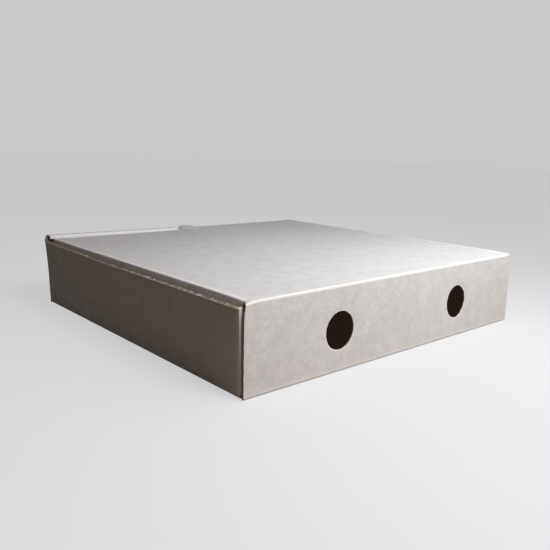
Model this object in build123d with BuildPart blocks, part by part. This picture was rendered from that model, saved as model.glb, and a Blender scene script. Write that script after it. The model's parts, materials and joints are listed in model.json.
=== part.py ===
"""Closed pizza box folded from one sheet of fine-flute corrugated board.

The sheet is in two nodes, because the lid turns on its crease: the tray, and the lid with its flaps.
The box stands on Z = 0, its front opening faces -Y and its vented back wall faces +Y.
"""

import os
from math import asin, cos, sin

from build123d import *

# Board: its thickness, the inside radius of a folded crease, and the gap between plies that lie together
board = 1.5
fold_radius = 0.2
ply_gap = 0.3

# Box over its outside faces: the side walls end below the lid's top, the rolled front wall stands above it
width = 229.0
depth = 229.0
lid_height = 46.5
side_drop = 3.5
rim_rise = 1.0

# Back wall: two steam vents, and the play between the wall and the corner tabs behind it
vent_diameter = 20.0
vent_spacing = 104.0
vent_height = 22.5
rear_tab_gap = 0.8

# Corner tabs that turn off the side walls' ends
rear_tab_length = 42.0
front_tab_length = 60.0
tab_lift = 2.0
tab_round = 6.0

# Rolled front wall: its inner panel is full width only down to the shoulders, and has tongues in floor slots
inner_shoulder = 2.6
tongue_width = 30.0
tongue_spacing = 120.0
tongue_inset = 0.3
tongue_round = 1.0

# Lid: side ears inside the side walls, and a tuck flap inside the front wall
ear_gap = 0.8
ear_height = 32.0
ear_setback = 4.0
ear_round = 14.0
tuck_gap = 0.6
tuck_height = 32.0
tuck_setback = 9.0
tuck_round = 12.0

# Pull tab, cut from the tuck flap and raised on a ramp to lie on the rolled front wall
pull_width = 13.0
pull_root = 1.0
pull_ramp = 10.0
pull_round = 4.0
pull_kerf = 0.5
pull_notch = 9.0

# Folds measured at mid-board and on the outside, and the board's faces on each side of the box
mid = board / 2
bend = fold_radius + mid
fold_outside = fold_radius + board
half_width = width / 2
front = -depth / 2
back = depth / 2
side_height = lid_height - side_drop
rim_height = lid_height + rim_rise

# Front wall: outer panel, corner tab and inner panel lie one behind the other
outer_y = front + mid
front_tab_y = outer_y + board + ply_gap
inner_y = front_tab_y + board + ply_gap
inner_face = inner_y + mid
inner_half = half_width - board - fold_outside

# Rear corner tabs stand behind the back wall
rear_tab_y = back - board - rear_tab_gap - mid

# Side walls between their end folds
wall_x = half_width - mid
side_from = front_tab_y - mid + fold_outside
side_to = rear_tab_y + mid - fold_outside

# Lid panel and its ears, between the tuck flap and the rear corner tabs
lid_half = half_width - board - ear_gap
lid_z = lid_height - mid
ear_x = lid_half - mid
tuck_face = inner_face + tuck_gap
ear_from = tuck_face + ear_setback
ear_to = rear_tab_y - mid - ply_gap

# The tuck flap is a chord of the arc that its crease swings on, so it clears the front wall as the lid opens
tuck_y = tuck_face + mid
tuck_half = lid_half - tuck_setback
tuck_slope = asin(tuck_height / (2 * (back - tuck_face)))
tuck_end = (tuck_y + tuck_height * sin(tuck_slope), lid_z - tuck_height * cos(tuck_slope))

# Pull tab from its root in the panel, down the ramp's length, to the top of the rim
pull_z = rim_height + ply_gap + mid
ramp_top = inner_face + mid
ramp_foot = ramp_top + pull_ramp
pull_from = ramp_foot + pull_root

# The back crease is mitred from its inside corner to the hinge line, over a stub of each panel
stub = 4 * fold_outside
mitre = 2 * stub
hinge_corner = (back, lid_height)
mitre_end = (back - mitre, lid_height - mitre)


def across_board(edge):
    """True for an edge that runs through the board's thickness, as at a flap's free corner."""
    return edge.length < 2 * board


with BuildPart() as tray:
    # Inner front panel, roll, outer front panel, floor and back wall: one strip bent along X
    with BuildSketch(Plane.YZ):
        with BuildLine():
            FilletPolyline(
                (inner_y, board + ply_gap),
                (inner_y, rim_height - mid),
                (outer_y, rim_height - mid),
                (outer_y, mid),
                (back - mid, mid),
                (back - mid, lid_z),
                (back - mid - stub, lid_z),
                radius=bend,
            )
        trace(line_width=board)
        with BuildLine():
            Polyline(hinge_corner, mitre_end, (back - mitre, lid_height), close=True)
        make_face(mode=Mode.SUBTRACT)
    extrude(amount=half_width, both=True)

    # Inner front panel stops short of the side walls, below its shoulders
    panel_bottom = board + ply_gap / 2
    panel_top = rim_height - inner_shoulder
    with BuildSketch(Plane.XY.offset(panel_bottom)):
        with Locations((inner_half, inner_y), (-half_width, inner_y)):
            Rectangle(half_width - inner_half, board + ply_gap, align=(Align.MIN, Align.CENTER))
    extrude(amount=panel_top - panel_bottom, mode=Mode.SUBTRACT)

    # Floor edges make way for the side folds
    with BuildSketch(Plane.XY):
        with Locations((half_width - fold_outside, 0), (-half_width, 0)):
            Rectangle(fold_outside, depth - 2 * fold_outside, align=(Align.MIN, Align.CENTER))
    extrude(amount=board, mode=Mode.SUBTRACT)

    # Floor and both side walls: one channel bent along Y
    with BuildSketch(Plane.XZ.offset(-side_to)):
        with BuildLine():
            FilletPolyline(
                (-wall_x, side_height),
                (-wall_x, mid),
                (wall_x, mid),
                (wall_x, side_height),
                radius=bend,
            )
        trace(line_width=board)
    extrude(amount=side_to - side_from)

    # Side walls with a tab turned off each end, clear of the floor
    with BuildSketch(Plane.XY.offset(tab_lift)):
        with BuildLine():
            FilletPolyline(
                (half_width - rear_tab_length, rear_tab_y),
                (wall_x, rear_tab_y),
                (wall_x, front_tab_y),
                (half_width - front_tab_length, front_tab_y),
                radius=bend,
            )
        trace(line_width=board)
        mirror(about=Plane.YZ)
    extrude(amount=side_height - tab_lift)
    tab_corners = tray.edges(Select.LAST).filter_by(Axis.Y).filter_by(across_board)
    fillet(tab_corners, radius=tab_round)

    # Slots in the floor, then the inner panel's tongues down through them
    with BuildSketch(Plane.XY):
        with Locations((0, inner_y)):
            with GridLocations(tongue_spacing, 0, 2, 1):
                Rectangle(tongue_width + 2 * ply_gap, board + 2 * ply_gap)
    extrude(amount=board, mode=Mode.SUBTRACT)
    with BuildSketch(Plane.XZ.offset(-inner_face)) as tongues:
        with Locations((0, tongue_inset)):
            with GridLocations(tongue_spacing, 0, 2, 1):
                Rectangle(tongue_width, 2 * board + ply_gap, align=(Align.CENTER, Align.MIN))
        fillet(tongues.vertices().group_by(Axis.Y)[0], radius=tongue_round)
    extrude(amount=board)

    # Steam vents through the back wall
    with Locations(Plane(origin=(0, back, vent_height), x_dir=(1, 0, 0), z_dir=(0, 1, 0))):
        with GridLocations(vent_spacing, 0, 2, 1):
            Hole(radius=vent_diameter / 2, depth=board)

tray.part.label = "tray"


with BuildPart() as lid:
    # Lid panel and tuck flap: one strip bent along X, mitred on the back crease
    with BuildSketch(Plane.YZ):
        with BuildLine():
            FilletPolyline(
                (back - mid, lid_z - stub),
                (back - mid, lid_z),
                (tuck_y, lid_z),
                tuck_end,
                radius=bend,
            )
        trace(line_width=board)
        with BuildLine():
            Polyline(hinge_corner, mitre_end, (back, lid_height - mitre), close=True)
        make_face(mode=Mode.SUBTRACT)
    extrude(amount=half_width, both=True)

    # Panel is as wide as the back wall at the crease, and narrows to the ears' faces in front of it
    with BuildSketch(Plane.XY):
        with Locations((lid_half, front), (-half_width, front)):
            Rectangle(half_width - lid_half, ear_to - front, align=(Align.MIN, Align.MIN))
    extrude(amount=lid_height, mode=Mode.SUBTRACT)

    # Tuck flap stands in from the lid's front corners, with its free corners rounded
    with BuildSketch(Plane.XY):
        with Locations((tuck_half, front), (-lid_half, front)):
            Rectangle(lid_half - tuck_half, tuck_face + fold_outside - front, align=(Align.MIN, Align.MIN))
    extrude(amount=lid_height, mode=Mode.SUBTRACT)
    tuck_corners = lid.edges().filter_by(across_board).sort_by(Axis.Z)[:2]
    fillet(tuck_corners, radius=tuck_round)

    # Panel edges make way for the ear folds
    with BuildSketch(Plane.XY.offset(lid_height - board)):
        with Locations((lid_half - fold_outside, ear_from), (-lid_half, ear_from)):
            Rectangle(fold_outside, ear_to - ear_from, align=(Align.MIN, Align.MIN))
    extrude(amount=board, mode=Mode.SUBTRACT)

    # Panel and both ears: one channel bent along Y, with the ears' free corners rounded
    with BuildSketch(Plane.XZ.offset(-ear_to)):
        with BuildLine():
            FilletPolyline(
                (-ear_x, lid_height - ear_height),
                (-ear_x, lid_z),
                (ear_x, lid_z),
                (ear_x, lid_height - ear_height),
                radius=bend,
            )
        trace(line_width=board)
    extrude(amount=ear_to - ear_from)
    ear_corners = lid.edges().filter_by(Axis.X).filter_by(across_board).sort_by(Axis.Z)[:4]
    fillet(ear_corners, radius=ear_round)

    # Pull tab: freed from the tuck flap by a notch, then raised over the rolled front wall
    with BuildSketch(Plane.XY.offset(lid_height - pull_notch)):
        with Locations((0, front)):
            Rectangle(pull_width + 2 * pull_kerf, pull_from - front, align=(Align.CENTER, Align.MIN))
    extrude(amount=pull_notch, mode=Mode.SUBTRACT)
    with BuildSketch(Plane.YZ):
        with BuildLine():
            FilletPolyline(
                (pull_from + board, lid_z),
                (ramp_foot, lid_z),
                (ramp_top, pull_z),
                (front, pull_z),
                radius=bend,
            )
        trace(line_width=board)
    extrude(amount=pull_width / 2, both=True)
    pull_corners = lid.edges(Select.LAST).filter_by(Axis.Z).group_by(Axis.Y)[0]
    fillet(pull_corners, radius=pull_round)

lid.part.label = "lid"


os.makedirs("parts", exist_ok=True)
export_step(tray.part, "parts/tray.step")
export_step(lid.part, "parts/lid.step")
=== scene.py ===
import json
import math

import bmesh
import bpy
import numpy as np
from mathutils import Matrix, Vector, noise


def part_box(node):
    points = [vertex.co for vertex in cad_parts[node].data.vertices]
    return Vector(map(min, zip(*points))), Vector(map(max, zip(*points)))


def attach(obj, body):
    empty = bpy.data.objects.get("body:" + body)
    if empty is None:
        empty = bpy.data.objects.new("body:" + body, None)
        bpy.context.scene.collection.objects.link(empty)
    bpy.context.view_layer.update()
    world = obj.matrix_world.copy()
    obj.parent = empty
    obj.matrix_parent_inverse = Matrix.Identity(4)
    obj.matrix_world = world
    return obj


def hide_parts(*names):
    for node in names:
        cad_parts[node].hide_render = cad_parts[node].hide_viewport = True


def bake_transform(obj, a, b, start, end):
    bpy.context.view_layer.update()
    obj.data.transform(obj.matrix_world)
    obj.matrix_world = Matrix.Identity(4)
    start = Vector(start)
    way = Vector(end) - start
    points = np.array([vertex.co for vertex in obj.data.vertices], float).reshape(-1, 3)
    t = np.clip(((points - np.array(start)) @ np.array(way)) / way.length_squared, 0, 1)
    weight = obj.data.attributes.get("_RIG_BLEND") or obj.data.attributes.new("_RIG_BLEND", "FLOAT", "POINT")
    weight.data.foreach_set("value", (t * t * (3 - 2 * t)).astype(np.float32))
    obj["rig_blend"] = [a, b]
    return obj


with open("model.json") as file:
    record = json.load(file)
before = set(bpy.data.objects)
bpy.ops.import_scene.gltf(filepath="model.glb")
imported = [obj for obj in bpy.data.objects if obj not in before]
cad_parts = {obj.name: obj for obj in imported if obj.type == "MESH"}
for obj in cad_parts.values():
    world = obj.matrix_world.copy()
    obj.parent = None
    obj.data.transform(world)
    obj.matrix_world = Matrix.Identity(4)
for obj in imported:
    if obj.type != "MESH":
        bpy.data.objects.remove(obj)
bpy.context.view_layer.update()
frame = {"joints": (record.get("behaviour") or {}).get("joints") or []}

# Tray: floor, back wall, side walls with corner tabs, and front wall of one die-cut blank.
# Fine-flute corrugated board, white liner outside and brown kraft inside, folded on pressed creases.
# The front wall is rolled over the front corner tabs and pinned by two tongues in floor slots.
mm = 0.001
quarter = math.pi / 2
along_x, along_y, along_z = (Vector(axis) for axis in ((1, 0, 0), (0, 1, 0), (0, 0, 1)))

board = 1.5 * mm
ply_gap = 0.3 * mm
crease_radius = 1.2 * mm
inside_radius = 0.25 * mm
cut_band = 0.8 * mm
row_pitch = 2.5 * mm

tray_low, tray_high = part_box("tray")
hinge_line = Vector(frame["joints"][0]["pos_m"])
half_width = tray_high.x
front = tray_low.y
back = tray_high.y
rim_height = tray_high.z
lid_height = hinge_line.z
side_drop = 3.5 * mm
side_height = lid_height - side_drop
hinge_reach = 4.1 * mm

# Steam vents; sizes that differ between the box's two ends are kept by side, 1 for +X and -1 for -X
vent_radius = 10.3 * mm
vent_patch = 14 * mm
vent_crush = 0.7 * mm
vent_nicks = 0.2 * mm
vent_nick_scale = 5
vent_squeeze = {1: 1, -1: 0.92}
vent_x = 52 * mm
vent_height = 22.5 * mm

inner_shoulder = 2.6 * mm
rear_tab_gap = 0.8 * mm
floor_half = half_width - crease_radius
front_tab_face = front + board + ply_gap
inner_face = front + 3 * board + 2 * ply_gap
inner_half = floor_half - board
inner_top = rim_height - inner_shoulder
inner_bottom = board + ply_gap
rear_tab_face = back - board - rear_tab_gap
tab_fold = 0.7 * mm
side_from = front_tab_face + tab_fold
side_to = rear_tab_face - tab_fold
side_lean = math.radians(1.8)

tab_lift = 2 * mm
tab_round = 6 * mm
rear_tab_length = 42 * mm
front_tab_length = 60 * mm
edge_slant = 0.65 * mm

tongue_x = 60 * mm
tongue_half = 15 * mm
tongue_end = 0.3 * mm
slot_half = tongue_half + ply_gap
slot_back = inner_face + ply_gap
slot_front = inner_face - board - ply_gap


def rows(marks, pitch=row_pitch):
    """Places from the first mark to the last, evenly spaced between marks at about a pitch."""
    places = [marks[0]]
    for start, end in zip(marks, marks[1:]):
        count = max(1, round(abs(end - start) / pitch))
        places += [start + (end - start) * part / count for part in range(1, count + 1)]
    return places


def both_sides(marks):
    """Marks on +X, with their mirror images on -X before them."""
    marks = sorted(marks)
    return [-mark for mark in reversed(marks)] + marks


def new_sheet(places, y, z, flute_start=0):
    """A sheet of board that starts as one row of edges along X."""
    sheet = bmesh.new()
    for layer in ("flute", "ply", "pressed"):
        sheet.verts.layers.float.new(layer)
    sheet.verts.layers.float_vector.new("mitre")
    row = bmesh.ops.create_vert(sheet, co=(places[0], y, z))["vert"]
    row[0][sheet.verts.layers.float["flute"]] = flute_start
    for start, end in zip(places, places[1:]):
        row = bmesh.ops.extrude_vert_indiv(sheet, verts=row)["verts"]
        bmesh.ops.translate(sheet, verts=row, vec=along_x * (end - start))
    return sheet


def between(edges, axis, low, high):
    """Those edges that lie between two places on an axis."""
    slack = 0.05 * mm
    return [edge for edge in edges if all(low - slack < vert.co[axis] < high + slack for vert in edge.verts)]


def fold_inside(sheet, verts, pressed, mitre):
    """Notes on a fold's row how much thinner the board is, and how far its inside moves into the corner."""
    for vert in verts:
        vert[sheet.verts.layers.float["pressed"]] = pressed
        vert[sheet.verts.layers.float_vector["mitre"]] = mitre


def grow(sheet, edges, shift, across, pressed=0, mitre=Vector()):
    """Grows one row of board from free edges, shifts it into place and returns its free edges."""
    grown = bmesh.ops.extrude_edge_only(sheet, edges=edges)["geom"]
    verts = [item for item in grown if isinstance(item, bmesh.types.BMVert)]
    bmesh.ops.transform(sheet, matrix=shift, verts=verts)
    fold_inside(sheet, verts, pressed, mitre)
    flute = sheet.verts.layers.float["flute"]
    for vert in verts:
        vert[flute] += across
    return [item for item in grown if isinstance(item, bmesh.types.BMEdge)]


def panel(sheet, edges, direction, places, across=0):
    """Grows a flat panel through places along a direction; across is 1 or -1 where it crosses the flutes."""
    for start, end in zip(places, places[1:]):
        step = abs(end - start)
        edges = grow(sheet, edges, Matrix.Translation(direction * step), across * step)
    return edges


def crease(sheet, edges, centre, axis, angle, across=0):
    """Bends the board about a crease's middle, in short rows; a tight fold has a sharp inner corner."""
    turns = 6
    turn = Matrix.Rotation(angle / turns, 4, axis)
    shift = Matrix.Translation(centre) @ turn @ Matrix.Translation(-centre)
    first = edges[0].verts[0].co - centre
    first -= axis * first.dot(axis)
    radius = first.length
    facing = first.normalized()
    last_facing = Matrix.Rotation(angle, 3, axis) @ facing
    pressed = max(0, board + inside_radius - radius)
    mitre = (facing + last_facing) * (-pressed / (1 + facing.dot(last_facing)))
    fold_inside(sheet, {vert for edge in edges for vert in edge.verts}, pressed, mitre)
    for _ in range(turns):
        edges = grow(sheet, edges, shift, across * radius * abs(angle) / turns, pressed, mitre)
    return edges


def widen(sheet, row, places):
    """Carries both ends of a row of edges on out to places on X, and returns the whole row."""
    row = list(row)
    for side in (-1, 1):
        tip = max((vert for edge in row for vert in edge.verts), key=lambda vert: side * vert.co.x)
        for place in places:
            grown = bmesh.ops.extrude_vert_indiv(sheet, verts=[tip])
            tip = grown["verts"][0]
            tip.co.x = side * place
            row += grown["edges"]
    return row


def round_corners(sheet, corners, radius):
    """Rounds free corners of a flap: the square of board at each one is drawn in to a quarter of a disc."""
    for corner in corners:
        start = corner.co.copy()
        free_edges = [edge for edge in corner.link_edges if edge.is_boundary]
        sides = [(edge.other_vert(corner).co - start).normalized() for edge in free_edges]
        for vert in sheet.verts:
            away = vert.co - start
            steps = [away.dot(side) for side in sides]
            off_plane = away - sides[0] * steps[0] - sides[1] * steps[1]
            if off_plane.length < ply_gap / 2 and -ply_gap < min(steps) and max(steps) < radius:
                parts = [1 - step / radius for step in steps]
                pull = max(parts) / math.hypot(*parts)
                for side, part in zip(sides, parts):
                    vert.co += side * radius * part * (1 - pull)


def ends(row, axis):
    """The two end vertices of a row of edges along an axis."""
    verts = sorted({vert for edge in row for vert in edge.verts}, key=lambda vert: vert.co[axis])
    return [verts[0], verts[-1]]


def cut_out(sheet, inside):
    """Removes the board where its faces' middles lie inside."""
    gone = [face for face in sheet.faces if inside(face.calc_center_median())]
    bmesh.ops.delete(sheet, geom=gone, context="FACES")


# The ragged cut edges start from a fixed seed, so each run gives the same box
ragged_seed = 3
noise.seed_set(ragged_seed)

white_index, kraft_index, cut_index = range(3)


def make_board(sheet, centre, is_seam, slant=lambda place: 0):
    """Gives a sheet its thickness and its liners, with pinched, ragged and slanted cut edges."""
    pinch = 0.12 * mm
    ragged = 0.12 * mm
    grain = 1 / (1.7 * mm)
    bmesh.ops.recalc_face_normals(sheet, faces=sheet.faces)
    facing = 0
    for face in sheet.faces:
        facing += face.calc_area() * face.normal.dot(face.calc_center_median() - centre)
    if facing < 0:
        bmesh.ops.reverse_faces(sheet, faces=sheet.faces)
    sheet.normal_update()
    cut = {vert for vert in sheet.verts if vert.is_boundary and not is_seam(vert.co)}
    inward = {vert: -vert.normal * vert.calc_shell_factor() for vert in sheet.verts}
    rise = {vert: along_z * slant(vert.co) for vert in cut}
    for vert in cut:
        vert.co += inward[vert] * pinch + noise.noise_vector(vert.co * grain) * ragged
    inside = sheet.faces[:]
    grown = bmesh.ops.extrude_face_region(sheet, geom=inside, use_keep_orig=True)["geom"]
    outside = [item for item in grown if isinstance(item, bmesh.types.BMFace)]
    ply = sheet.verts.layers.float["ply"]
    pressed = sheet.verts.layers.float["pressed"]
    mitre = sheet.verts.layers.float_vector["mitre"]
    for vert, direction in inward.items():
        vert[ply] = 1
        vert.co += direction * (board - vert[pressed]) + vert[mitre]
        if vert in cut:
            vert.co += rise[vert] - direction * 2 * pinch + noise.noise_vector(vert.co * grain) * ragged
    liners = [(sheet.faces, cut_index), (outside, white_index), (inside, kraft_index)]
    for faces, liner in liners:
        for face in faces:
            face.material_index = liner
            face.smooth = True
    for edge in sheet.edges:
        edge.smooth = len({face.material_index for face in edge.link_faces}) == 1


def cover_cut(sheet, inside):
    """Lays the white liner over crushed cuts, where their faces' middles lie inside."""
    for face in sheet.faces:
        if face.material_index == cut_index and inside(face.calc_center_median()):
            face.material_index = white_index


def make_piece(name, sheet, finishes):
    """Turns a finished sheet into an object with its finishes."""
    mesh = bpy.data.meshes.new(name)
    sheet.to_mesh(mesh)
    sheet.free()
    for finish in finishes:
        mesh.materials.append(finish)
    piece = bpy.data.objects.new(name, mesh)
    bpy.context.collection.objects.link(piece)
    return piece


def side_of(vert):
    """1 for a vertex on the box's +X half, and -1 for one on its -X half."""
    return 1 if vert.co.x > 0 else -1


tray_columns = rows(both_sides([
    vent_x - vent_patch, vent_x + vent_patch, tongue_x - slot_half, tongue_x - tongue_half,
    tongue_x + tongue_half, tongue_x + slot_half, inner_half, floor_half, half_width - cut_band, half_width,
]))
tray_sheet = new_sheet(tray_columns, back - crease_radius, 0)
first_row = tray_sheet.edges[:]

# Back wall, up to the lid's crease
back_foot = Vector((0, back - crease_radius, crease_radius))
row = crease(tray_sheet, first_row, back_foot, along_x, quarter, across=1)
back_rows = rows([
    crease_radius, vent_height - vent_patch, vent_height + vent_patch, lid_height - hinge_reach,
])
hinge_row = panel(tray_sheet, row, along_z, back_rows, across=1)
flute = tray_sheet.verts.layers.float["flute"]
hinge_flute = hinge_row[0].verts[0][flute]

# Floor, and the front wall rolled over and down again
row = between(first_row, 0, -floor_half, floor_half)
floor_rows = rows([back - crease_radius, side_to, slot_back, slot_front, side_from, front + crease_radius])
row = panel(tray_sheet, row, -along_y, floor_rows, across=-1)
row = widen(tray_sheet, row, [half_width - cut_band, half_width])
front_foot = Vector((0, front + crease_radius, crease_radius))
row = crease(tray_sheet, row, front_foot, along_x, -quarter, across=-1)
roll_z = rim_height - crease_radius
row = panel(tray_sheet, row, along_z, rows([crease_radius, roll_z]), across=-1)
roll_front = Vector((0, front + crease_radius, roll_z))
row = crease(tray_sheet, row, roll_front, along_x, -quarter, across=-1)
roll_back = Vector((0, inner_face - crease_radius, roll_z))
row = panel(tray_sheet, row, along_y, rows([roll_front.y, roll_back.y]), across=-1)
row = crease(tray_sheet, row, roll_back, along_x, -quarter, across=-1)
row = panel(tray_sheet, row, -along_z, rows([roll_z, inner_top]), across=-1)
row = between(row, 0, -inner_half, inner_half)
row = panel(tray_sheet, row, -along_z, rows([inner_top, inner_bottom]), across=-1)
for side in (-1, 1):
    tongue = sorted((side * (tongue_x - tongue_half), side * (tongue_x + tongue_half)))
    panel(tray_sheet, between(row, 0, *tongue), -along_z, rows([inner_bottom, tongue_end]), across=-1)

# The rolled rim stands higher at +X than at -X, and the lid's pull tab presses it down in the middle
dip_places = [part * mm for part in (-11, -7.7, -3.5, 3.5, 7.7, 9.2)]
rim_places = [-half_width, *dip_places, half_width]
rim_lifts = [part * mm for part in (-1.1, -0.5, -1.0, -0.3, -0.3, -1.0, 0.3, 1.9)]
for vert in tray_sheet.verts:
    if vert.co.y < inner_face + ply_gap and vert.co.z > inner_bottom:
        vert.co.z += np.interp(vert.co.x, rim_places, rim_lifts) * vert.co.z / rim_height

# Side walls, which lean out a little, and the tabs turned off their ends
side_rows = rows([
    crease_radius, tab_lift, tab_lift + tab_round,
    side_height - tab_round, side_height - 2 * edge_slant, side_height,
])
for side in (-1, 1):
    foot = between(tray_sheet.edges, 0, side * floor_half, side * floor_half)
    foot = between(between(foot, 1, side_from, side_to), 2, 0, 0)
    lean = quarter - side_lean
    row = crease(tray_sheet, foot, Vector((side * floor_half, 0, crease_radius)), along_y, -side * lean)
    rise = Vector((side * math.sin(side_lean), 0, math.cos(side_lean)))
    outward = Vector((side * math.cos(side_lean), 0, -math.sin(side_lean)))
    panel(tray_sheet, row, rise, side_rows)
    wall_from = floor_half + crease_radius / 2
    wall = between(tray_sheet.edges, 2, tab_lift - ply_gap / 2, side_height)
    wall = [edge for edge in wall if edge.is_boundary]
    wall = [edge for edge in wall if all(side * vert.co.x > wall_from for vert in edge.verts)]
    for end, place, length in ((1, side_to, rear_tab_length), (-1, side_from, front_tab_length)):
        axle = Vector((side * floor_half, place, crease_radius)) + outward * (crease_radius - tab_fold)
        row = crease(tray_sheet, between(wall, 1, place, place), axle, rise, end * side * quarter, across=end)
        tab_rows = rows([tab_fold, length - tab_round, length - tab_round / 3, length])
        row = panel(tray_sheet, row, -outward, tab_rows, across=end)
        round_corners(tray_sheet, ends(row, 2), tab_round)

# The side walls' tops rise towards the front, where the corners spread and the ends of the roll stand open
wall_rise_places = [front, -100 * mm, -90 * mm, -50 * mm, -33 * mm]
wall_rises = [1.7 * mm, 1.5 * mm, 1.1 * mm, 0.5 * mm, 0]
panel_flare = {1: 2.5 * mm, -1: 0.8 * mm}
roll_open = 0.5 * mm
wall_flare = {1: 1.6 * mm, -1: 0.5 * mm}
flare_length = 25 * mm
flare_from = -30 * mm
flare_heights = [side_height - board, lid_height, rim_height + board]
flare_shares = [0.6, 1, 0.3]
flare_curve = 1.4
for vert in tray_sheet.verts:
    side = side_of(vert)
    reach = abs(vert.co.x)
    tip = np.interp(reach, [half_width - flare_length, half_width], [0, 1])
    on_front = vert.co.y < front + board or vert.co.z > side_height + ply_gap
    on_side = reach > floor_half or abs(vert.co.y - front_tab_face) < ply_gap
    if on_front:
        flare = panel_flare[side] * np.interp(vert.co.y, [front + board, inner_face], [1, 0])
        flare *= np.interp(vert.co.z, flare_heights, flare_shares)
        vert.co.y += roll_open * tip ** 2 * np.interp(vert.co.y, [inner_face - board, inner_face], [0, 1])
    elif on_side:
        flare = wall_flare[side] * np.interp(vert.co.y, [front, flare_from], [1, 0]) ** 2
        wall_rise = np.interp(vert.co.y, wall_rise_places, wall_rises)
        near_wall = np.interp(reach, [floor_half - 2 * board, floor_half], [0, 1])
        vert.co.z *= 1 + wall_rise / side_height * near_wall
    else:
        flare = 0
    vert.co.x += side * flare * tip ** 2 * max(0, vert.co.z / rim_height) ** flare_curve

# The back wall's ends, crushed by the knife, are pulled in: the +X corner sags and the -X one stands up
corner_pull = {1: 0.9 * mm, -1: 2.8 * mm}
corner_droop = {1: 1.0 * mm, -1: -0.6 * mm}
knife_press_and_highlight = 0.4 * mm
corner_reach = 10 * mm
corner_rise = 12 * mm


def sag_corner(vert, pull, droop):
    """Pulls the end of a panel in, and down or up, by shares of its corner's full pull and droop."""
    side = side_of(vert)
    tip = max(0, abs(vert.co.x) - half_width + corner_reach) / corner_reach
    vert.co.x -= side * corner_pull[side] * pull * tip ** 2
    vert.co.z -= corner_droop[side] * droop * tip ** 2


def wall_share(place):
    """Share of a corner's pull and droop at a place on the back wall."""
    return max(0, 1 - (lid_height - place.z) / corner_rise) ** 2


pressed = tray_sheet.verts.layers.float["pressed"]
# The knife's press thins the back wall's cut ends and paints them paler, a painted highlight along the cut
for vert in tray_sheet.verts:
    if vert.co.y > back - ply_gap:
        if abs(vert.co.x) > half_width - ply_gap:
            vert[pressed] = knife_press_and_highlight
        sag_corner(vert, wall_share(vert.co), wall_share(vert.co))

# Slots for the tongues, and two steam vents, crushed and nicked by the punch, the -X one squeezed narrower
cut_out(tray_sheet, lambda middle: middle.z < ply_gap and slot_front < middle.y < slot_back
        and abs(abs(middle.x) - tongue_x) < slot_half)
for side in (-1, 1):
    centre = Vector((side * vent_x, back, vent_height))

    def in_patch(place):
        """True in the square of board that is remade round the vent."""
        away = place - centre
        return abs(away.y) < ply_gap and max(abs(away.x), abs(away.z)) < vent_patch + ply_gap / 2

    cut_out(tray_sheet, in_patch)
    hole = [edge for edge in tray_sheet.edges if edge.is_boundary]
    hole = [edge for edge in hole if all(in_patch(vert.co) for vert in edge.verts)]
    for radius, crush in ((vent_radius + cut_band, 0), (vent_radius, vent_crush)):
        hole = grow(tray_sheet, hole, Matrix(), 0, crush)
        for vert in {vert for edge in hole for vert in edge.verts}:
            facing = (vert.co - centre).normalized()
            nick = vent_nicks * noise.noise(facing * vent_nick_scale + centre * side / mm)
            place = centre + facing * (radius + nick)
            place.x = centre.x + (place.x - centre.x) * vent_squeeze[side]
            vert[flute] += place.z - vert.co.z
            vert.co = place


class Socket:
    """One socket of a material's nodes: arithmetic on it adds Math nodes, and node() adds any other."""

    def __init__(self, tree, output=None):
        self.tree = tree
        self.output = output

    def node(self, kind, settings=None, sockets=None, out=0):
        """Adds a node with its settings and its sockets' values or links, and gives one of its outputs."""
        made = self.tree.nodes.new(kind)
        for name, value in (settings or {}).items():
            setattr(made, name, value)
        for name, value in (sockets or {}).items():
            if isinstance(value, Socket):
                self.tree.links.new(value.output, made.inputs[name])
            else:
                made.inputs[name].default_value = value
        return Socket(self.tree, made.outputs[out] if made.outputs else None)

    def math(self, operation, *others):
        """Adds a Math node that works on this value and others."""
        return self.node("ShaderNodeMath", {"operation": operation}, dict(enumerate((self, *others))))

    def __add__(self, other):
        return self.math("ADD", other)

    def __sub__(self, other):
        return self.math("SUBTRACT", other)

    def __rsub__(self, other):
        return self * -1 + other

    def __mul__(self, other):
        return self.math("MULTIPLY", other)

    __radd__ = __add__
    __rmul__ = __mul__

    def noise(self, size, detail=2.0, stretch=(1, 1, 1)):
        """Cloudy noise on this position, with features of about a size in metres."""
        place = self.node("ShaderNodeVectorMath", {"operation": "MULTIPLY"}, {0: self, 1: stretch})
        return self.node("ShaderNodeTexNoise", None, {"Vector": place, "Scale": 1 / size, "Detail": detail})

    def ramp(self, low, high, start=0.0, end=1.0):
        """Goes smoothly from start to end while this value goes from low to high."""
        limits = {"Value": self, "From Min": low, "From Max": high, "To Min": start, "To Max": end}
        return self.node("ShaderNodeMapRange", {"interpolation_type": "SMOOTHSTEP"}, limits)

    def mix(self, colour, other):
        """Mixes two colours by this value."""
        return self.node("ShaderNodeMix", {"data_type": "RGBA"}, {0: self, 6: colour, 7: other}, out=2)

    def bump(self, distance, strength=1.0):
        """A surface normal from this height, which is distance deep."""
        return self.node("ShaderNodeBump", None, {"Height": self, "Distance": distance, "Strength": strength})


def new_finish(name):
    """An empty material and its first socket."""
    finish = bpy.data.materials.new(name)
    finish.use_nodes = True
    finish.node_tree.nodes.clear()
    return finish, Socket(finish.node_tree)


def close_finish(start, sockets):
    """Ends a material with its surface shader."""
    surface = start.node("ShaderNodeBsdfPrincipled", None, sockets)
    start.node("ShaderNodeOutputMaterial", None, {"Surface": surface})


flute_pitch = 3.4 * mm
flute_turn = 2 * math.pi / flute_pitch


def washboard(start):
    """The flutes' wave across the board, from -1 to 1."""
    across = start.node("ShaderNodeAttribute", {"attribute_name": "flute"}, out="Fac")
    return (across * flute_turn).math("SINE")
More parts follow.
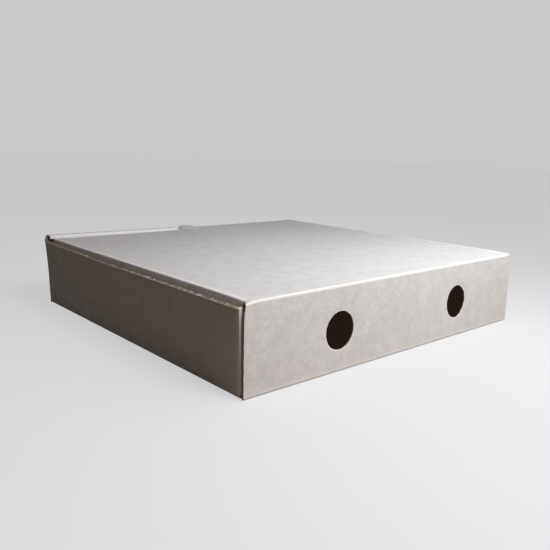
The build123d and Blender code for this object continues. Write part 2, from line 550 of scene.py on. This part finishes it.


# Where the creasing rule, the knife or the punch has pressed the white liner, it is painted a little paler:
# partly burnishing, partly a painted highlight on folds and pressed edges
paper_dull = (0.710, 0.695, 0.690, 1)
paper_bright = (0.830, 0.820, 0.815, 1)
paper_burnish_highlight = (0.930, 0.925, 0.920, 1)
white_liner, start = new_finish("white_liner")
place = start.node("ShaderNodeTexCoord", out="Object")
cloud = place.noise(7 * mm, 3)
mottle = place.noise(1.6 * mm, 3)
fibre = place.noise(0.5 * mm, 2)
tone = cloud * 0.3 + mottle * 0.35 + fibre * 0.35
paper = tone.ramp(0.385, 0.615).mix(paper_dull, paper_bright)
dent = start.node("ShaderNodeAttribute", {"attribute_name": "pressed"}, out="Fac")
burnish_highlight = dent.ramp(0, 0.5 * mm, 0, 0.85)
paper = burnish_highlight.mix(paper, paper_burnish_highlight)
height = fibre * 0.5 + mottle * 0.35 + (washboard(start) * 0.5 + 0.5) * 0.1
close_finish(start, {
    "Base Color": paper,
    "Roughness": mottle.ramp(0.3, 0.7, 0.58, 0.74),
    "Specular IOR Level": 0.15,
    "Normal": height.bump(0.12 * mm, 0.35),
})

# A faint painted glow on the kraft stands in for the little light that comes through the board, so its inside
# is never quite black
kraft_dark = (0.345, 0.215, 0.115, 1)
kraft_pale = (0.475, 0.320, 0.185, 1)
fleck_brown = (0.20, 0.12, 0.065, 1)
kraft_painted_glow = (0.009, 0.0065, 0.006, 1)
kraft_liner, start = new_finish("kraft_liner")
place = start.node("ShaderNodeTexCoord", out="Object")
cloud = place.noise(9 * mm, 3)
strand = place.noise(1.1 * mm, 4, (2.2, 0.7, 1))
fleck = place.noise(0.5 * mm, 2)
tone = cloud * 0.4 + strand * 0.6
kraft = tone.ramp(0.32, 0.68).mix(kraft_dark, kraft_pale)
kraft = fleck.ramp(0.62, 0.74, 0, 0.5).mix(kraft, fleck_brown)
height = strand * 0.5 + fleck * 0.2 + (washboard(start) * 0.5 + 0.5) * 0.3
close_finish(start, {
    "Base Color": kraft,
    "Roughness": strand.ramp(0.3, 0.7, 0.68, 0.85),
    "Specular IOR Level": 0.3,
    "Normal": height.bump(0.15 * mm, 0.5),
    "Emission Color": kraft_painted_glow,
    "Emission Strength": 1.0,
})

# On a cut edge the fluted ply waves between the two liners; the hollows between them get painted shade, dark
# brown, and are torn shut in blotches
pulp_brown = (0.46, 0.35, 0.23, 1)
pulp_pale = (0.80, 0.70, 0.55, 1)
hollow_shade_brown = (0.16, 0.105, 0.06, 1)
liner_white = (0.76, 0.735, 0.71, 1)
raw_edge, start = new_finish("raw_edge")
place = start.node("ShaderNodeTexCoord", out="Object")
depth = start.node("ShaderNodeAttribute", {"attribute_name": "ply"}, out="Fac")
blotch = place.noise(2.6 * mm, 3)
torn = place.noise(0.5 * mm, 3)
medium = washboard(start) * 0.36 + 0.5
from_medium = (depth - medium).math("ABSOLUTE")
from_middle = (depth - 0.5).math("ABSOLUTE")
solid = from_medium.ramp(0.10, 0.24, 1, 0).math("MAXIMUM", from_middle.ramp(0.30, 0.38))
solid = solid.math("MAXIMUM", blotch.ramp(0.50, 0.66))
pulp = (blotch * 0.6 + torn * 0.4).ramp(0.36, 0.64).mix(pulp_brown, pulp_pale)
pulp = solid.mix(hollow_shade_brown, pulp)
pulp = depth.ramp(0.06, 0.16, 0.85, 0).mix(pulp, liner_white)
close_finish(start, {
    "Base Color": pulp,
    "Roughness": 0.85,
    "Specular IOR Level": 0.2,
    "Normal": (solid * 0.7 + torn * 0.5).bump(0.3 * mm, 0.8),
})

board_liners = [white_liner, kraft_liner, raw_edge]
box_middle = Vector((0, 0, lid_height / 2))


def at_hinge_seam(place):
    """True on the row where the back wall goes on into the lid's crease."""
    return place.y > back - board and place.z > lid_height - hinge_reach - ply_gap


def wall_slant(place):
    """How far the cut on a side wall's top slants down to its outside."""
    top = side_height + np.interp(place.y, wall_rise_places, wall_rises)
    on_top = abs(place.x) > floor_half - board and abs(place.z - top) < ply_gap
    return edge_slant if on_top else 0


make_board(tray_sheet, box_middle, at_hinge_seam, wall_slant)

# The roll's +X end is crushed, so the white liner covers its cut
cover_cut(tray_sheet, lambda middle: middle.x > inner_half and middle.y < inner_face + board
          and middle.z > lid_height)
tray_board = make_piece("tray_board", tray_sheet, board_liners)
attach(tray_board, "tray")
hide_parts("tray")

# Lid crease: the strip of the blank that bends where the lid joins the back wall.
# The same board, pressed thin by the creasing rule, and as wide as the back wall.
# It is one sheet with both, so it turns between them as the lid opens.
hinge_radius = 0.9 * mm
ear_radius = 0.8 * mm
ear_splay = math.radians(20)
ear_turn = quarter - ear_splay
ear_gap = 0.8 * mm
lid_half = half_width - board - ear_gap
lid_flat = lid_half - ear_radius
ear_end = back - hinge_reach
fine_pitch = 0.7 * mm

crease_columns = rows(both_sides([half_width - corner_reach, lid_flat]))
crease_ends = rows([lid_flat, half_width], fine_pitch)[1:]
crease_columns = [*(-place for place in reversed(crease_ends)), *crease_columns, *crease_ends]
crease_sheet = new_sheet(crease_columns, back, lid_height - hinge_reach, hinge_flute)
wall_rows = rows([lid_height - hinge_reach, lid_height - hinge_radius], fine_pitch)
row = panel(crease_sheet, crease_sheet.edges[:], along_z, wall_rows, across=1)
hinge_centre = Vector((0, back - hinge_radius, lid_height - hinge_radius))
row = crease(crease_sheet, row, hinge_centre, along_x, quarter, across=1)
row = panel(crease_sheet, row, -along_y, rows([back - hinge_radius, ear_end], fine_pitch), across=1)
flute = crease_sheet.verts.layers.float["flute"]
lid_flute = row[0].verts[0][flute]

# The strip's ends follow the wall's corners, and curl down into the ears' folds on the lid's side
corner_fade = 25 * mm
lid_bow = 1.0 * mm
bow_from = 60 * mm


def lid_share(place):
    """Share of a corner's droop at a place on the lid."""
    return max(0, 1 - (back - place.y) / corner_fade) ** 2


def bow_lid(vert):
    """Lifts the lid towards its -X edge, from nothing at the crease."""
    edge = max(0, (-vert.co.x - bow_from) / (lid_half - bow_from))
    vert.co.z += lid_bow * edge ** 2 * (1 - lid_share(vert.co))


pressed = crease_sheet.verts.layers.float["pressed"]
# On the crease strip's wall ends the knife's press also paints a paler highlight line
for vert in crease_sheet.verts:
    on_lid = max(0, (back - hinge_radius - vert.co.y) / (hinge_reach - hinge_radius))
    pull = 1 if on_lid else wall_share(vert.co)
    if not on_lid and abs(vert.co.x) > half_width - ply_gap:
        vert[pressed] = max(vert[pressed], knife_press_and_highlight)
    bow_lid(vert)
    sag_corner(vert, pull, min(pull, lid_share(vert.co)))
    beyond = abs(vert.co.x) - lid_flat
    if on_lid and beyond > 0:
        full = half_width - corner_pull[side_of(vert)] - lid_flat
        beyond *= 1 - on_lid + on_lid * ear_turn * ear_radius / full
        curl = on_lid / ear_radius
        vert.co.x = math.copysign(lid_flat + math.sin(curl * beyond) / curl, vert.co.x)
        vert.co.z -= (1 - math.cos(curl * beyond)) / curl


def at_crease_seam(place):
    """True on the two rows where the crease strip joins the back wall and the lid."""
    low = place.z < lid_height - hinge_reach + ply_gap and place.y > back - ply_gap
    far = place.y < ear_end + ply_gap
    return low or far


make_board(crease_sheet, box_middle, at_crease_seam)
lid_crease = make_piece("lid_crease", crease_sheet, board_liners)
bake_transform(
    lid_crease, "tray", "lid",
    start=hinge_line - along_z * board, end=hinge_line - along_y * board,
)

# Lid: top panel with two side ears, a tuck flap and a small pull tab along its front edge.
# The same board, white outside; the ears and the tuck flap are folded down inside the tray's walls.
# The pull tab is cut out of the tuck flap's crease and lies on the rolled front wall.
ear_height = 32 * mm
ear_round = 14 * mm
ear_slope = 2.2 * mm
ear_bend = 4 * mm
ear_setback = 1 * mm
tuck_gap = 0.6 * mm
tuck_face = inner_face + tuck_gap
tuck_height = 32 * mm
tuck_setback = 9 * mm
tuck_half = lid_half - tuck_setback
tuck_round = 12 * mm
tuck_slope = math.asin(tuck_height / (2 * (back - tuck_face)))
ear_start = tuck_face + ear_setback
pull_half = 7.2 * mm
pull_kerf = 0.2 * mm
notch_half = pull_half + pull_kerf
notch_depth = 9 * mm
pull_rise = 1.6 * mm
pull_bend = 6 * mm
pull_crown = 1.3 * mm
pull_flat = 3.5 * mm
pull_crush = 0.8 * mm
pull_round = 4 * mm
pull_ramp = 10 * mm
pull_root = 1 * mm
ramp_top = inner_face + board / 2
ramp_foot = ramp_top + pull_ramp
pull_from = ramp_foot + pull_root

lid_columns = rows(both_sides([
    pull_half - pull_round, pull_half, notch_half, tuck_half - tuck_round, tuck_half, lid_flat,
]))
lid_sheet = new_sheet(lid_columns, ear_end, lid_height, lid_flute)
row = lid_sheet.edges[:]
lid_rows = rows([ear_end, ear_end - ear_round, ear_start + ear_round, pull_from, ear_start])
row = panel(lid_sheet, row, -along_y, lid_rows, across=1)
row = widen(lid_sheet, row, [lid_half])
row = panel(lid_sheet, row, -along_y, rows([ear_start, tuck_face + crease_radius]), across=1)
row = between(row, 0, -tuck_half, tuck_half)

# Tuck flap, leaning in from its crease
tuck_centre = Vector((0, tuck_face + crease_radius, lid_height - crease_radius))
row = crease(lid_sheet, row, tuck_centre, along_x, quarter + tuck_slope, across=1)
tuck_fall = Vector((0, math.sin(tuck_slope), -math.cos(tuck_slope)))
tuck_rows = rows([crease_radius, notch_depth, tuck_height - tuck_round, tuck_height])
row = panel(lid_sheet, row, tuck_fall, tuck_rows, across=1)
round_corners(lid_sheet, ends(row, 0), tuck_round)

# Ears, which spring out from their creases and then hang straight down along the side walls
for side in (-1, 1):
    edge_line = between(lid_sheet.edges, 0, side * lid_flat, side * lid_flat)
    edge_line = between(edge_line, 1, ear_start, ear_end)
    ear_centre = Vector((side * lid_flat, 0, lid_height - ear_radius))
    row = crease(lid_sheet, edge_line, ear_centre, along_y, side * ear_turn)
    ear_fall = Vector((side * math.sin(ear_splay), 0, -math.cos(ear_splay)))
    row = panel(lid_sheet, row, ear_fall, rows([0, ear_slope], fine_pitch))
    outward = Vector((side * math.cos(ear_splay), 0, math.sin(ear_splay)))
    bend_centre = row[0].verts[0].co - outward * ear_bend
    row = crease(lid_sheet, row, bend_centre, along_y, side * ear_splay)
    ear_top = lid_height - row[0].verts[0].co.z
    row = panel(lid_sheet, row, -along_z, rows([ear_top, ear_height - ear_round, ear_height]))
    round_corners(lid_sheet, ends(row, 1), ear_round)

# The front edge lifts at its corners and beside the pull tab's notch, and dips a little way off on +X
lift_places = [-lid_half, -notch_half, notch_half, 10 * mm, 14 * mm, lid_half]
lift_heights = [0.1 * mm, 0.9 * mm, 0.8 * mm, -0.1 * mm, -0.4 * mm, 0.3 * mm]
lift_from = -40 * mm
for vert in lid_sheet.verts:
    share = min(1, max(0, (lift_from - vert.co.y) / (lift_from - tuck_face)))
    vert.co.z += share * share * np.interp(vert.co.x, lift_places, lift_heights)
    bow_lid(vert)
    sag_corner(vert, 0, lid_share(vert.co))


def on_pull_tab(place, fall):
    """True on the pull tab, down to a fall below the lid's top."""
    return abs(place.x) < pull_half + ply_gap / 2 and place.y < pull_from and place.z > lid_height - fall


# Pull tab: its notch, then the ramp up to the rim and the tip on it, crowned and crushed at its sides
cut_out(lid_sheet, lambda middle: abs(middle.x) < notch_half and middle.y < pull_from
        and middle.z > lid_height - notch_depth)
row = [edge for edge in between(lid_sheet.edges, 1, pull_from, pull_from) if edge.is_boundary]
row = between(row, 0, -pull_half, pull_half)
ramp_slope = math.atan2(pull_rise, pull_ramp)
ramp_length = math.hypot(pull_rise, pull_ramp)
bend_reach = pull_bend * math.tan(ramp_slope / 2)
bend_start = ramp_foot + bend_reach
bend_end = ramp_top - bend_reach
row = panel(lid_sheet, row, -along_y, [pull_from, bend_start], across=1)
foot_centre = Vector((0, bend_start, lid_height + pull_bend))
row = crease(lid_sheet, row, foot_centre, along_x, -ramp_slope, across=1)
ramp_rise = Vector((0, -math.cos(ramp_slope), math.sin(ramp_slope)))
row = panel(lid_sheet, row, ramp_rise, rows([bend_reach, ramp_length - bend_reach]), across=1)
tip_centre = Vector((0, bend_end, lid_height + pull_rise - pull_bend))
row = crease(lid_sheet, row, tip_centre, along_x, ramp_slope, across=1)
row = panel(lid_sheet, row, -along_y, rows([bend_end, front + pull_round, front]), across=1)
round_corners(lid_sheet, ends(row, 0), pull_round)
pull_lift = np.interp(0, lift_places, lift_heights)
pressed = lid_sheet.verts.layers.float["pressed"]
# The crush on the tab's crowned sides thins the board there and also paints it paler, a painted highlight
for vert in lid_sheet.verts:
    if on_pull_tab(vert.co, ply_gap):
        share = (pull_from - vert.co.y) / (pull_from - front)
        vert.co.z += share * (pull_lift - np.interp(vert.co.x, lift_places, lift_heights))
        crown = max(0, abs(vert.co.x) - pull_flat) / (pull_half - pull_flat)
        rising = np.interp(vert.co.y, [ramp_top, ramp_foot], [1, 0])
        vert.co.z -= pull_crown * rising * crown ** 2
        vert[pressed] = pull_crush * rising * crown ** 2


def at_lid_seam(place):
    """True where the lid and its ears' folds go on into the crease strip."""
    return place.y > ear_end - ply_gap and place.z > lid_height - corner_droop[1] - ear_radius


make_board(lid_sheet, box_middle, at_lid_seam)

# The pull tab's cut edges are crushed, so the white liner covers them
cover_cut(lid_sheet, lambda middle: on_pull_tab(middle, board))
lid_board = make_piece("lid_board", lid_sheet, board_liners)
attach(lid_board, "lid")
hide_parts("lid")

# Studio: a plain pale floor under the box, with a pale sky behind it.
# A soft lamp faces the back wall and a weaker one hangs over its -X end, so the +X side wall is in shadow.
# Floor and sky are pale to the camera and darker to light that bounces, so that shaded walls stay dark.
stage_half = 4.0
stage_drop = 0.05 * mm
floor_sheet = bmesh.new()
bmesh.ops.create_grid(floor_sheet, x_segments=8, y_segments=8, size=stage_half)
bmesh.ops.translate(floor_sheet, verts=floor_sheet.verts, vec=-along_z * stage_drop)


def seen_plainly(start):
    """1 for what the camera sees, straight, mirrored or through glass, and 0 for light that bounces."""
    seen = start.node("ShaderNodeLightPath", out="Is Camera Ray")
    for ray in ("Is Glossy Ray", "Is Transmission Ray"):
        seen = seen.math("MAXIMUM", start.node("ShaderNodeLightPath", out=ray))
    return seen


black = (0, 0, 0, 1)
floor_seen = (0.26, 0.26, 0.265, 1)
floor_bounce = (0.27, 0.21, 0.165, 1)
floor_glow = (0.56, 0.56, 0.57, 1)
floor_finish, start = new_finish("floor_paint")
seen = seen_plainly(start)
close_finish(start, {
    "Base Color": seen.mix(floor_bounce, floor_seen),
    "Specular IOR Level": 0,
    "Emission Color": seen.mix(black, floor_glow),
    "Emission Strength": 1.0,
})
floor = make_piece("floor", floor_sheet, [floor_finish])

sky_seen = (0.585, 0.585, 0.595, 1)
sky_bounce = (1.0, 0.82, 0.68, 1)
sky_dim = 0.044
sky = bpy.data.worlds.new("studio_sky")
sky.use_nodes = True
sky.node_tree.nodes.clear()
start = Socket(sky.node_tree)
seen = seen_plainly(start)
pale = start.node("ShaderNodeBackground", None, {"Color": sky_seen, "Strength": 1.0})
dim = start.node("ShaderNodeBackground", None, {"Color": sky_bounce, "Strength": sky_dim})
light = start.node("ShaderNodeMixShader", None, {0: seen, 1: dim, 2: pale})
start.node("ShaderNodeOutputWorld", None, {"Surface": light})
bpy.context.scene.world = sky


def lamp(name, place, aim, size, power, colour):
    """A square soft lamp that points at a place."""
    light = bpy.data.lights.new(name, "AREA")
    light.size = size
    light.energy = power
    light.color = colour
    stand = bpy.data.objects.new(name, light)
    stand.location = place
    stand.rotation_euler = (aim - place).to_track_quat("-Z", "Y").to_euler()
    bpy.context.collection.objects.link(stand)


lamp(
    "key_lamp", Vector((0.02, 0.375, 0.375)), aim=Vector((0, 0.07, 0.02)),
    size=0.20, power=1.69, colour=(1.0, 0.965, 0.96),
)
lamp(
    "near_lamp", Vector((-0.099, 0.173, 0.206)), aim=Vector((0, 0.05, 0.04)),
    size=0.20, power=0.285, colour=(0.88, 0.98, 1.0),
)

# The camera looks over the corner between the back wall and the +X side wall
camera_place = Vector((278.5, 323.6, 114.0)) * mm
camera_aim = Vector((9.0, 12.8, 29.1)) * mm
camera_roll = math.radians(1.25)
focal_pixels = 620
image_pixels = 550
camera_data = bpy.data.cameras.new("camera")
camera_data.sensor_width = 36.0
camera_data.lens = camera_data.sensor_width * focal_pixels / image_pixels
camera_data.clip_start = 0.01
camera = bpy.data.objects.new("camera", camera_data)
camera_turn = (camera_aim - camera_place).to_track_quat("-Z", "Y").to_matrix()
camera_turn @= Matrix.Rotation(camera_roll, 3, "Z")
camera.matrix_world = Matrix.Translation(camera_place) @ camera_turn.to_4x4()
bpy.context.collection.objects.link(camera)
bpy.context.scene.camera = camera
bpy.context.scene.view_settings.view_transform = "Standard"
